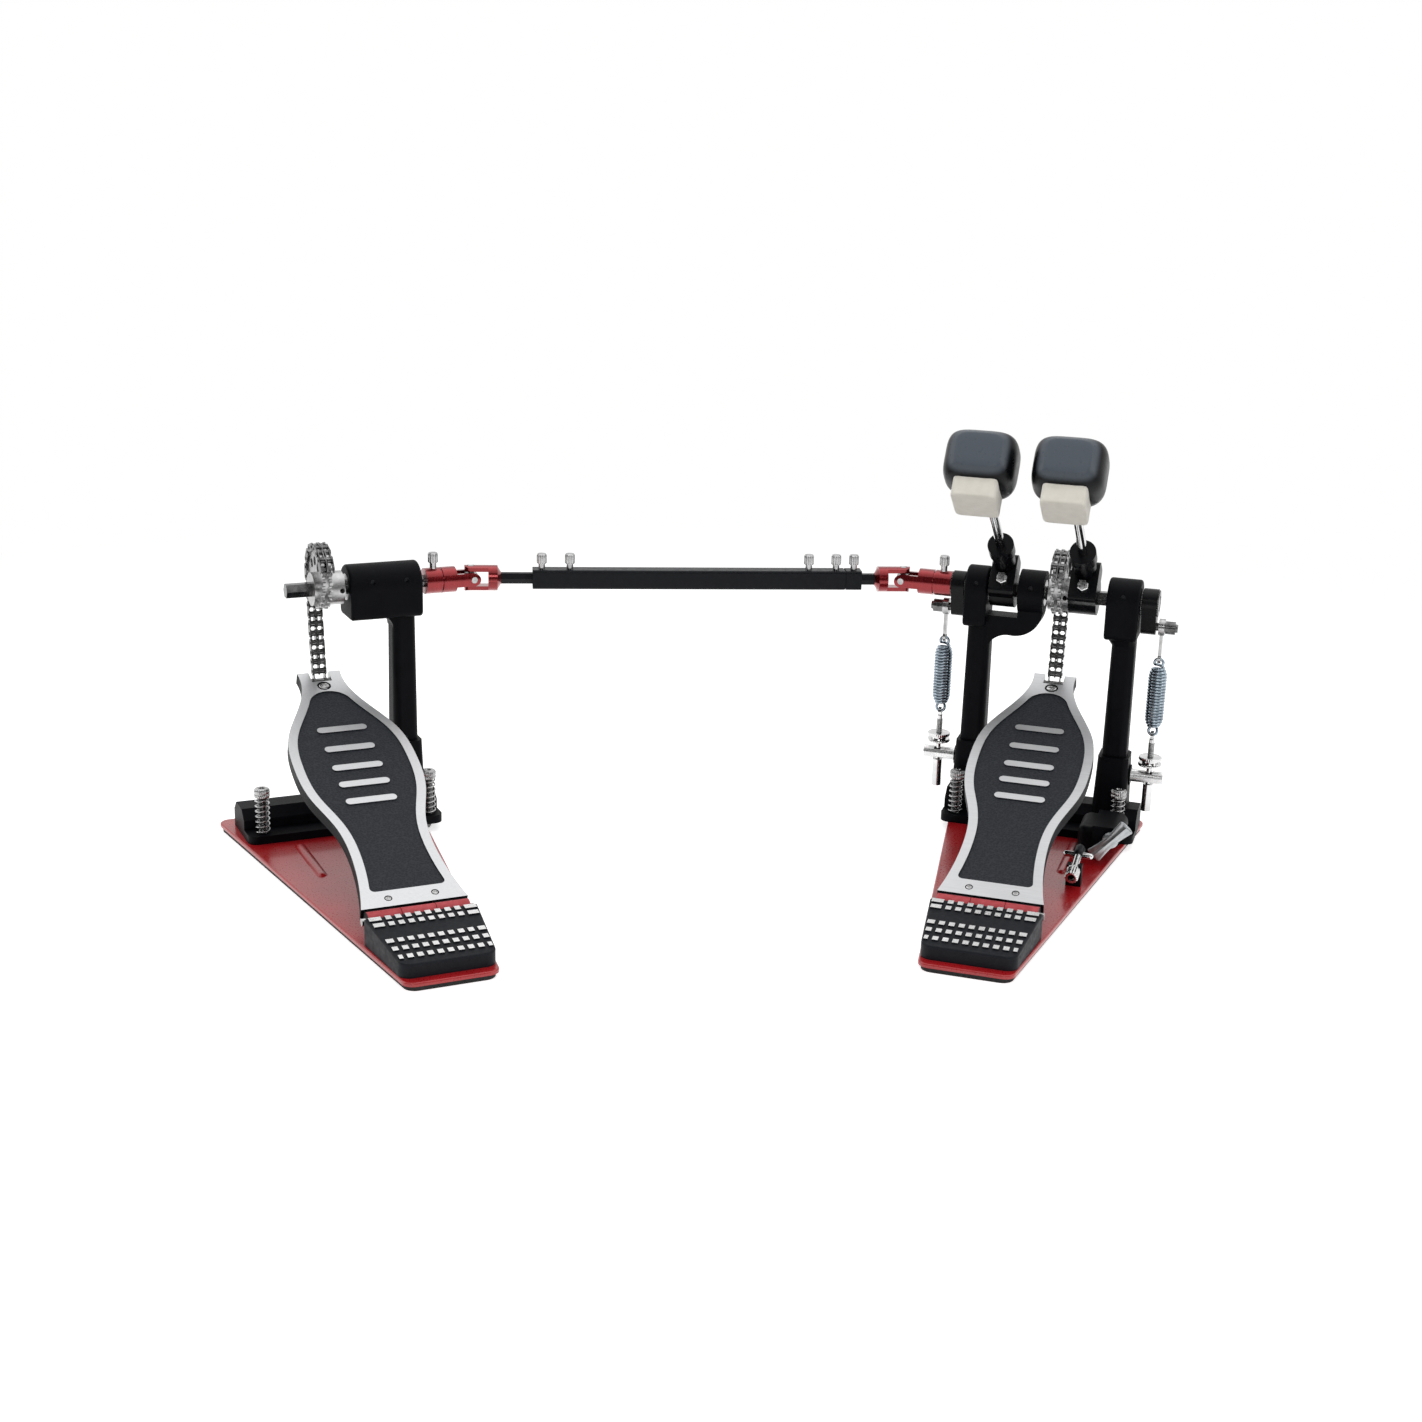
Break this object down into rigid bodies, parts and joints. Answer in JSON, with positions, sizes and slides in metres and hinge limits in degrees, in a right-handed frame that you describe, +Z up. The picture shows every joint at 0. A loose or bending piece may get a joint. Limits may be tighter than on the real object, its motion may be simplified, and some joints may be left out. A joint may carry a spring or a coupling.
{
  "type": "double bass drum pedal",
  "caption": "Double bass drum pedal: a main pedal with paired beaters and a slave pedal, joined by a telescopic shaft with universal joints, with chain drives and return springs.",
  "frame": {"origin": "on the floor, under the beater shaft, on the middle line of the main footboard", "axes": "+X along the beater shafts to the right, +Y to the drum, +Z up; metres"},
  "size_m": [0.7554, 0.5629, 0.3695],
  "materials": {
    "red": "gloss red coat",
    "rubber": "matt black floor pad",
    "black": "fine textured black coat",
    "charcoal": "charcoal cast plate with bright studs",
    "silver": "satin cast aluminium",
    "steel": "zinc plated steel",
    "chrome": "bright chrome",
    "shell": "black moulded shell with a cream felt pad"
  },
  "bodies": {
    "primary_frame": {"primary_base_plate": "red", "primary_floor_pad": "rubber", "primary_heel_plate": "charcoal", "primary_heel_hinge": "red", "primary_foot_bar": "black", "left_post": "black", "right_post": "black", "post_bearings": "steel", "spring_swivels": "steel", "clamp_bracket": "black"},
    "clamp_jaw": {"clamp_jaw": "black"},
    "wing_screw": {"wing_screw": "chrome"},
    "drum_key": {"drum_key": "chrome"},
    "primary_spurs": {"primary_spurs": "chrome"},
    "primary_footboard": {"primary_footboard": "silver"},
    "primary_drive": {"primary_shaft": "chrome", "primary_sprocket": "silver", "primary_chain_wrap": "steel", "right_beater_hub": "black", "right_rocker": "black"},
    "left_drive": {"left_beater_shaft": "chrome", "left_beater_hub": "black", "left_rocker": "black", "primary_outer_yoke": "red"},
    "primary_cross": {"primary_cross": "steel"},
    "linkage_tube": {"linkage_tube": "black", "primary_inner_yoke": "red"},
    "slave_frame": {"slave_base_plate": "red", "slave_floor_pad": "rubber", "slave_heel_plate": "charcoal", "slave_heel_hinge": "red", "slave_foot_bar": "black", "slave_post": "black", "slave_bearings": "steel"},
    "slave_footboard": {"slave_footboard": "silver"},
    "slave_spurs": {"slave_spurs": "chrome"},
    "slave_drive": {"slave_shaft": "chrome", "slave_sprocket": "silver", "slave_chain_wrap": "steel", "slave_outer_yoke": "red"},
    "slave_cross": {"slave_cross": "steel"},
    "slave_inner_yoke": {"slave_inner_yoke": "red"},
    "primary_link_1": {"primary_chain_link_1": "steel"},
    "primary_link_2": {"primary_chain_link_2": "steel"},
    "primary_link_3": {"primary_chain_link_3": "steel"},
    "primary_span": {"primary_chain_span": "steel"},
    "slave_link_1": {"slave_chain_link_1": "steel"},
    "slave_link_2": {"slave_chain_link_2": "steel"},
    "slave_link_3": {"slave_chain_link_3": "steel"},
    "slave_span": {"slave_chain_span": "steel"},
    "right_beater": {"right_beater_rod": "chrome", "right_beater_head": "shell"},
    "right_stirrup": {"right_stirrup": "steel", "right_spring": "steel"},
    "right_spring_tail": {"right_spring_tail": "steel"},
    "left_beater": {"left_beater_rod": "chrome", "left_beater_head": "shell"},
    "left_stirrup": {"left_stirrup": "steel", "left_spring": "steel"},
    "left_spring_tail": {"left_spring_tail": "steel"}
  },
  "joints": [
    {"name": "primary_footboard_hinge", "type": "hinge", "parent": "primary_frame", "child": "primary_footboard", "pos_m": [0, -0.264, 0.022], "axis": [-1, 0, 0], "range_deg": [0, 5.79], "stiffness_Nm_per_rad": 20, "springref_deg": -11.46},
    {"name": "primary_shaft_turn", "type": "hinge", "parent": "primary_frame", "child": "primary_drive", "pos_m": [0, 0, 0.21], "axis": [-1, 0, 0], "range_deg": [0, 54.11]},
    {"name": "primary_link_1_pivot", "type": "hinge", "parent": "primary_drive", "child": "primary_link_1", "pos_m": [0, 0.01808, 0.23738], "axis": [-1, 0, 0], "range_deg": [-12.02, 0]},
    {"name": "primary_link_2_pivot", "type": "hinge", "parent": "primary_link_1", "child": "primary_link_2", "pos_m": [0, 0.02278, 0.23091], "axis": [-1, 0, 0], "range_deg": [-18.04, 0]},
    {"name": "primary_link_3_pivot", "type": "hinge", "parent": "primary_link_2", "child": "primary_link_3", "pos_m": [0, 0.02525, 0.2233], "axis": [-1, 0, 0], "range_deg": [-18.04, 0]},
    {"name": "primary_span_pivot", "type": "hinge", "parent": "primary_link_3", "child": "primary_span", "pos_m": [0, 0.02525, 0.2153], "axis": [-1, 0, 0], "range_deg": [-8.82, 0]},
    {"name": "primary_spurs_lift", "type": "slide", "parent": "primary_frame", "child": "primary_spurs", "axis": [0, 0, 1], "range_m": [0, 0.005]},
    {"name": "slave_footboard_hinge", "type": "hinge", "parent": "slave_frame", "child": "slave_footboard", "pos_m": [-0.39406, -0.43222, 0.022], "axis": [-0.7362, -0.6767, 0], "range_deg": [0, 5.79], "stiffness_Nm_per_rad": 20, "springref_deg": -11.46},
    {"name": "slave_shaft_turn", "type": "hinge", "parent": "slave_frame", "child": "slave_drive", "pos_m": [-0.57272, -0.23786, 0.21], "axis": [-0.7362, -0.6767, 0], "range_deg": [0, 54.11]},
    {"name": "slave_link_1_pivot", "type": "hinge", "parent": "slave_drive", "child": "slave_link_1", "pos_m": [-0.58496, -0.22455, 0.23738], "axis": [-0.7362, -0.6767, 0], "range_deg": [-12.02, 0]},
    {"name": "slave_link_2_pivot", "type": "hinge", "parent": "slave_link_1", "child": "slave_link_2", "pos_m": [-0.58814, -0.22109, 0.23091], "axis": [-0.7362, -0.6767, 0], "range_deg": [-18.04, 0]},
    {"name": "slave_link_3_pivot", "type": "hinge", "parent": "slave_link_2", "child": "slave_link_3", "pos_m": [-0.58981, -0.21927, 0.2233], "axis": [-0.7362, -0.6767, 0], "range_deg": [-18.04, 0]},
    {"name": "slave_span_pivot", "type": "hinge", "parent": "slave_link_3", "child": "slave_span", "pos_m": [-0.58981, -0.21927, 0.2153], "axis": [-0.7362, -0.6767, 0], "range_deg": [-8.82, 0]},
    {"name": "slave_spurs_lift", "type": "slide", "parent": "slave_frame", "child": "slave_spurs", "axis": [0, 0, 1], "range_m": [0, 0.005]},
    {"name": "slave_reach", "type": "slide", "parent": "primary_frame", "child": "slave_frame", "axis": [-0.9155, -0.4023, 0], "range_m": [-0.025, 0.08]},
    {"name": "left_shaft_turn", "type": "hinge", "parent": "primary_frame", "child": "left_drive", "pos_m": [0, 0, 0.21], "axis": [-1, 0, 0], "range_deg": [0, 53.2]},
    {"name": "primary_cross_tilt", "type": "hinge", "parent": "left_drive", "child": "primary_cross", "pos_m": [-0.1358, 0, 0.21], "axis": [0, -1, 0], "range_deg": [0, 19.4]},
    {"name": "tube_turn", "type": "hinge", "parent": "primary_frame", "child": "linkage_tube", "pos_m": [-0.1358, 0, 0.21], "axis": [-0.9155, -0.4023, 0], "range_deg": [0, 55.6]},
    {"name": "slave_yoke_turn", "type": "hinge", "parent": "slave_frame", "child": "slave_inner_yoke", "pos_m": [-0.47716, -0.15002, 0.21], "axis": [-0.9155, -0.4023, 0], "range_deg": [0, 55.6]},
    {"name": "slave_cross_tilt", "type": "hinge", "parent": "slave_drive", "child": "slave_cross", "pos_m": [-0.47716, -0.15002, 0.21], "axis": [-0.6767, 0.7362, 0], "range_deg": [0, 15.48]},
    {"name": "right_stirrup_pivot", "type": "hinge", "parent": "primary_drive", "child": "right_stirrup", "pos_m": [0, 0, 0.19], "axis": [-1, 0, 0], "range_deg": [-60.68, 0]},
    {"name": "right_spring_stretch", "type": "slide", "parent": "right_stirrup", "child": "right_spring_tail", "axis": [0, 0, -1], "range_m": [0, 0.00919], "deforming": ["right_spring"]},
    {"name": "right_beater_height", "type": "slide", "parent": "primary_drive", "child": "right_beater", "axis": [0, -0.809, 0.5878], "range_m": [0, 0.03]},
    {"name": "left_stirrup_pivot", "type": "hinge", "parent": "left_drive", "child": "left_stirrup", "pos_m": [0, 0, 0.19], "axis": [-1, 0, 0], "range_deg": [-59.71, 0]},
    {"name": "left_spring_stretch", "type": "slide", "parent": "left_stirrup", "child": "left_spring_tail", "axis": [0, 0, -1], "range_m": [0, 0.00891], "deforming": ["left_spring"]},
    {"name": "left_beater_height", "type": "slide", "parent": "left_drive", "child": "left_beater", "axis": [0, -0.809, 0.5878], "range_m": [0, 0.03]},
    {"name": "drum_key_lift", "type": "slide", "parent": "primary_frame", "child": "drum_key", "axis": [0, 0, 1], "range_m": [0, 0.02]},
    {"name": "wing_screw_turn", "type": "hinge", "parent": "primary_frame", "child": "wing_screw", "pos_m": [0.07, -0.095, 0.0295], "axis": [0, 1, 0], "range_deg": [0, 360]},
    {"name": "clamp_jaw_close", "type": "hinge", "parent": "primary_frame", "child": "clamp_jaw", "pos_m": [0, 0.025, 0.031], "axis": [-1, 0, 0], "range_deg": [0, 8.02]}
  ],
  "couplings": [
    {"joint": "primary_shaft_turn", "follows": "primary_footboard_hinge", "ratio": 9.328},
    {"joint": "primary_link_1_pivot", "follows": "primary_footboard_hinge", "ratio": -2.0729},
    {"joint": "primary_link_2_pivot", "follows": "primary_footboard_hinge", "ratio": -3.1093},
    {"joint": "primary_link_3_pivot", "follows": "primary_footboard_hinge", "ratio": -3.1093},
    {"joint": "primary_span_pivot", "follows": "primary_footboard_hinge", "ratio": -1.5201},
    {"joint": "slave_shaft_turn", "follows": "slave_footboard_hinge", "ratio": 9.328},
    {"joint": "slave_link_1_pivot", "follows": "slave_footboard_hinge", "ratio": -2.0729},
    {"joint": "slave_link_2_pivot", "follows": "slave_footboard_hinge", "ratio": -3.1093},
    {"joint": "slave_link_3_pivot", "follows": "slave_footboard_hinge", "ratio": -3.1093},
    {"joint": "slave_span_pivot", "follows": "slave_footboard_hinge", "ratio": -1.5201},
    {"joint": "left_shaft_turn", "follows": "slave_footboard_hinge", "ratio": 9.1716},
    {"joint": "primary_cross_tilt", "follows": "slave_footboard_hinge", "ratio": 3.3447},
    {"joint": "tube_turn", "follows": "slave_footboard_hinge", "ratio": 9.5856},
    {"joint": "slave_yoke_turn", "follows": "slave_footboard_hinge", "ratio": 9.5856},
    {"joint": "slave_cross_tilt", "follows": "slave_footboard_hinge", "ratio": 2.6694},
    {"joint": "right_stirrup_pivot", "follows": "primary_footboard_hinge", "ratio": -10.461},
    {"joint": "right_spring_stretch", "follows": "primary_footboard_hinge", "m_per_rad": 0.090772},
    {"joint": "left_stirrup_pivot", "follows": "slave_footboard_hinge", "ratio": -10.293},
    {"joint": "left_spring_stretch", "follows": "slave_footboard_hinge", "m_per_rad": 0.08806},
    {"joint": "clamp_jaw_close", "follows": "wing_screw_turn", "ratio": 0.022222}
  ]
}
